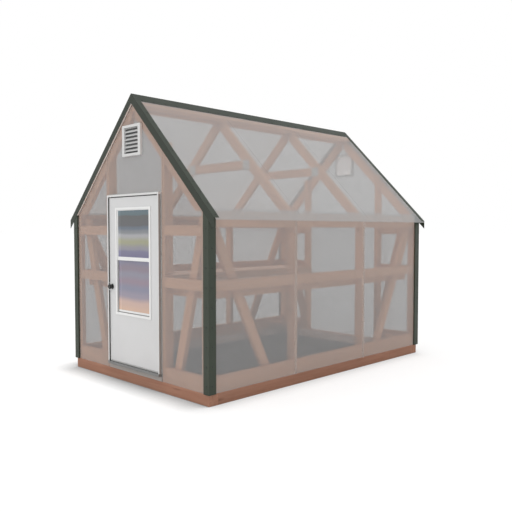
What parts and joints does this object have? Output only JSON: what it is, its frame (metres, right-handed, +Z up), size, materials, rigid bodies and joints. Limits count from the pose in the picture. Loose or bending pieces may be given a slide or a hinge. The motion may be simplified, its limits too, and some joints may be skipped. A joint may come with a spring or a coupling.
{
  "type": "greenhouse",
  "caption": "Gabled timber-framed greenhouse with clear sheet walls and roof, dark metal trims, gable vents, benches along both sides and a white half-glazed door.",
  "frame": {"origin": "middle of the base, on the ground", "axes": "+Z up, +Y along the ridge from the door end to the back, +X to the right seen from the door"},
  "size_m": [2.652, 3.7453, 3.0814],
  "materials": {
    "timber": "rough sawn, unfinished",
    "bench_timber": "planed, dry",
    "clear_sheet": "twin-wall sheet, milky clear",
    "green_metal": "baked paint, satin",
    "white_metal": "satin",
    "white_wood": "painted, satin",
    "white_plastic": "satin",
    "aluminium": "mill finish",
    "steel": "galvanised",
    "black_metal": "satin",
    "black_plastic": "satin",
    "glass": "clear",
    "mat": "woven ground cover"
  },
  "bodies": {
    "building": {"base_end_timbers": "timber", "base_side_timbers": "timber", "side_bottom_plates": "timber", "end_bottom_plates": "timber", "corner_studs": "timber", "wall_studs": "timber", "top_plates": "timber", "side_girts": "timber", "gable_girts": "timber", "wall_braces": "timber", "gable_braces": "timber", "corner_braces": "timber", "front_gable_studs": "timber", "back_gable_studs": "timber", "gable_rafters": "timber", "truss_rafters": "timber", "collar_ties": "timber", "ridge_board": "timber", "ridge_purlins": "timber", "bench_ledgers": "timber", "bench_front_rails": "timber", "bench_end_rails": "timber", "bench_joists": "timber", "bench_slats": "bench_timber", "ground_mat": "mat", "gusset_plates": "steel", "strike_plate": "steel", "frame_hinge_leaves": "white_metal", "hinge_pins": "white_metal", "side_panels": "clear_sheet", "front_gable_panels": "clear_sheet", "back_gable_panels": "clear_sheet", "roof_panels": "clear_sheet", "ridge_cap": "green_metal", "rake_trims": "green_metal", "corner_trims": "green_metal", "vent_frames": "white_plastic", "vent_louvres": "white_plastic", "door_jambs": "white_wood", "door_head": "white_wood", "door_stops": "white_wood", "threshold": "aluminium"},
    "door": {"door_leaf": "white_metal", "door_hinge_leaves": "white_metal", "door_sweep": "aluminium", "latch_case": "steel", "outer_window_frame": "white_plastic", "inner_window_frame": "white_plastic", "upper_sash_frame": "white_plastic", "upper_glass": "glass", "knob_roses": "black_metal"},
    "sash": {"sash_frame": "white_plastic", "sash_glass": "glass", "sash_catches": "black_plastic"},
    "knobs": {"outer_knob": "black_metal", "inner_knob": "black_metal", "spindle": "steel"},
    "latch": {"latch_bolt": "steel"}
  },
  "joints": [
    {"name": "door_swing", "type": "hinge", "parent": "building", "child": "door", "pos_m": [0.4525, -1.8485, 1.0975], "axis": [0, 0, 1], "range_deg": [0, 155]},
    {"name": "sash_slide", "type": "slide", "parent": "door", "child": "sash", "axis": [0, 0, 1], "range_m": [0, 0.48]},
    {"name": "knob_turn", "type": "hinge", "parent": "door", "child": "knobs", "pos_m": [-0.406, -1.822, 1.025], "axis": [0, 1, 0], "range_deg": [0, 60], "stiffness_Nm_per_rad": 0.4},
    {"name": "latch_draw", "type": "slide", "parent": "door", "child": "latch", "axis": [1, 0, 0], "range_m": [0, 0.012]}
  ],
  "couplings": [
    {"joint": "latch_draw", "follows": "knob_turn", "m_per_rad": 0.01145}
  ]
}
